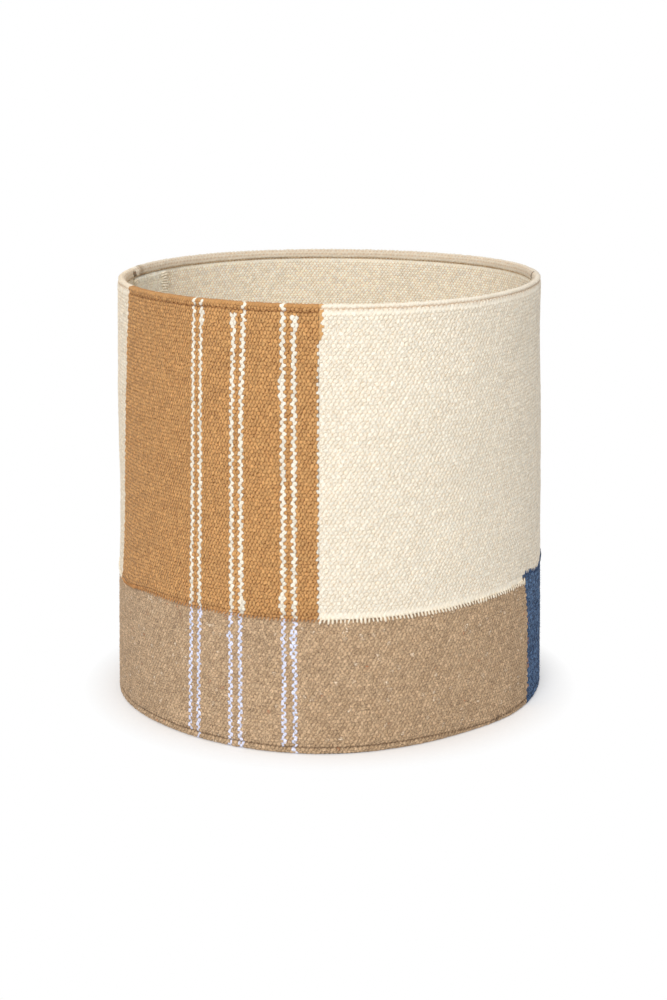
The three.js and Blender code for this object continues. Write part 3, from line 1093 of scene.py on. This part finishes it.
teeth = {"Spacing": 3.5, "Length": 6.6, "Width": 2.0, "Height": 1.5, "Scatter": 0.28}
cream_join = join_row(-2.4, 65.0, -0.7, join_slant)
stitches("join_stitches_cream", "cream_cloth", cream_thread, cream_join, **teeth)
left_join = join_row(-110.2, -75.0, -0.7, 70.0)
stitches("join_stitches_left", "cream_cloth", cream_thread, left_join, **teeth)
teeth.update({"Length": 4.6, "Width": 1.6})
tan_join = join_row(-74.0, -2.8, -0.4, 60.0)
stitches("join_stitches_tan", "tan_cloth", tan_thread, tan_join, **teeth)
teeth.update({"Spacing": 4.6, "Length": 5.6, "Width": 2.0})
blue_join = join_row(65.6, 248.6, 6.7, 62.0)
stitches("join_stitches_blue", "blue_cloth", blue_thread, blue_join, **teeth)
closing = [(lean(seam_turn, z), closing_radius, z, 68.0) for z in np.linspace(9, under_rim_z, 100)]
teeth.update({"Spacing": 4.6, "Length": 7.2})
stitches("closing_stitches", "cream_cloth", cream_thread, closing, **teeth)


# Fuzz
# Short cotton fibres that stand off the yarn all over the outside, most on the softly spun blue.


def fuzz_tree():
    """Grows thin fibres on the face of a cloth, tipped over at random."""
    tree, given = new_tree("loose fibres", {"Density": 9000.0, "Length": 2.6, "Width": 0.22, "Seed": 3.0})
    start = Field(tree)
    side = start.node(
        "GeometryNodeInputNamedAttribute", {"data_type": "FLOAT_VECTOR"}, {"Name": "weave"}
    ).parts()[2]
    spread = start.node(
        "GeometryNodeDistributePointsOnFaces", {},
        {"Mesh": given["Geometry"], "Selection": side < 0.5, "Density": given["Density"],
         "Seed": given["Seed"]},
    )
    facing = Field(tree, spread.socket.node.outputs["Rotation"])
    tilt = at_random(start, 0.5, 1.45, 21)
    tip = start.node("FunctionNodeAxisAngleToRotation", {}, {"Axis": (1, 0, 0), "Angle": tilt})
    heading = at_random(start, 0.0, 6.28, 22)
    spin = start.node("FunctionNodeAxisAngleToRotation", {}, {"Axis": (0, 0, 1), "Angle": heading})
    settings = {"rotation_space": "LOCAL"}
    spun = start.node("FunctionNodeRotateRotation", settings, {"Rotation": facing, "Rotate By": spin})
    tipped = start.node("FunctionNodeRotateRotation", settings, {"Rotation": spun, "Rotate By": tip})
    size = at_random(start, 0.4, 1.0, 23)
    thin = given["Width"] * size
    scale = start.node("ShaderNodeCombineXYZ", {}, {0: thin, 1: thin, 2: given["Length"] * size})
    fibre = start.node(
        "GeometryNodeMeshCone", {"fill_type": "NONE"},
        {"Vertices": 3, "Radius Bottom": 0.5 * mm, "Radius Top": 0.0, "Depth": mm},
    )
    grown = start.node(
        "GeometryNodeInstanceOnPoints", {},
        {"Points": spread, "Instance": fibre, "Rotation": tipped, "Scale": scale},
    )
    end_tree(grown, given["Material"])
    return tree


fuzzy = fuzz_tree()
for name, slot, look, density in (
    ("taupe_panel", "taupe_cloth", taupe_thread, 14000.0),
    ("blue_panel_cloth", "blue_cloth", blue_thread, 40000.0),
    ("tan_panel", "tan_cloth", tan_thread, 8000.0),
    ("cream_panel_right", "cream_cloth", cream_thread, 9000.0),
    ("cream_panel_back", "cream_cloth", cream_thread, 9000.0),
    ("cream_panel_left", "cream_cloth", cream_thread, 9000.0),
):
    cloth = bpy.data.objects[name]
    seat = bpy.data.objects.new(name + "_fuzz", cloth.data.copy())
    bpy.context.scene.collection.objects.link(seat)
    fuzz = worked(seat, fuzzy, look, {"Density": density})
    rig.slot(fuzz, slot)
    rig.ride(fuzz, "root")


# Lining seam strip
# A strip of the lining cloth, sewn over its closing seam inside, at the rear left.
# Its two edges show as columns of pale stitches.
strip_turn, strip_degrees = -122.8, 21.8
strip_picks = 40
strip_look = woven("seam strip cloth", lining_yarn, dye(204, 182, 150), 0.38)
strip = cut_cloth("lining_strip", (0, strip_picks), (5.0, 155.5), finer=0.5, inward=True)
strip_sizes = {"First azimuth": strip_turn, "Degrees a pick": strip_degrees / strip_picks,
               "Wall radius": 192.3, "Thickness": 1.4, "Tuck": 0.0}
strip = worked(strip, lining_tree(), strip_look, strip_sizes)
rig.replaces(strip, "lining_seam_strip")
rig.slot(strip, "lining_cloth")
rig.ride(strip, "root")
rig.sheet(strip, flat=(0.0745, 0.369), held="stretched", rests_on=["lining_cloth_wall"])
for name, turn, width in (("strip_stitches_left", -121.3, 13.0), ("strip_stitches_right", -102.0, 5.0)):
    column = [(turn, 191.7, z, 0.0) for z in np.linspace(19, 386, 100)]
    stitches(name, "lining_cloth", cream_thread, column, Spacing=2.6, Length=2.3, Width=width, Height=1.1)


# Studio
# A white floor that fades into a white backdrop, one large soft lamp in front, a little to the left,
# a small one above, and even light from all round. Only the camera sees the backdrop as white.
white = (1, 1, 1, 1)
room = (0.54, 0.52, 0.51, 1)
floor = new_piece("studio_floor", [(-8, -8, 0), (8, -8, 0), (8, 8, 0), (-8, 8, 0)], [(0, 1, 2, 3)])
floor_look, surface, start = new_material("white floor")
seen = start.node("ShaderNodeLightPath")
place = start.node("ShaderNodeTexCoord", out=3)
reach = start.node("ShaderNodeVectorMath", {"operation": "LENGTH"}, {0: place}, out=1)
far = between((reach - 0.2) * 25, 0.0, 1.0)
between_colours(seen, (0.8, 0.8, 0.8, 1), white).feeds(surface, "Base Color")
surface.inputs["Roughness"].default_value = 1.0
surface.inputs["Specular IOR Level"].default_value = 0.0
glow = start.node("ShaderNodeEmission", {}, {"Strength": 1.0})
lit = Field(start.tree, surface.outputs[0])
mixed = start.node("ShaderNodeMixShader", {}, {0: seen * (0.2 + 0.8 * far), 1: lit, 2: glow})
mixed.feeds(start.tree.nodes["Material Output"], 0)
floor.data.materials.append(floor_look)
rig.stage(floor)

world = bpy.data.worlds.new("studio")
bpy.context.scene.world = world
world.use_nodes = True
seen = Field(world.node_tree).node("ShaderNodeLightPath")
backdrop = between_colours(seen, room, white)
backdrop.feeds(world.node_tree.nodes["Background"], "Color")


def soft_lamp(name, place, aim, size, power):
    light = bpy.data.lights.new(name, "AREA")
    light.shape = "DISK"
    light.size = size
    light.energy = power
    lamp = bpy.data.objects.new(name, light)
    lamp.location = place
    lamp.rotation_euler = (lamp.location - Vector(aim)).to_track_quat("Z", "Y").to_euler()
    bpy.context.scene.collection.objects.link(lamp)


soft_lamp("front lamp", (-1.15, -4.2, 2.4), (0, 0, 0.2), 2.6, 128)
soft_lamp("top lamp", (0.2, -0.2, 2.6), (0, 0, 0), 2.2, 17)

lens = bpy.data.cameras.new("photo camera")
lens.sensor_fit = "VERTICAL"
lens.sensor_height = 36
lens.lens = 66.1
lens.shift_x = 0.0032
camera = bpy.data.objects.new("photo camera", lens)
camera.location = (0, -1.708, 0.6138)
camera.rotation_euler = (math.radians(75.74), 0, 0)
bpy.context.scene.collection.objects.link(camera)
bpy.context.scene.camera = camera
bpy.context.scene.view_settings.view_transform = "Standard"

json.dump([[list(v) for v in cad_box], [list(v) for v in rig.bounds()]], open("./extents.json", "w"))
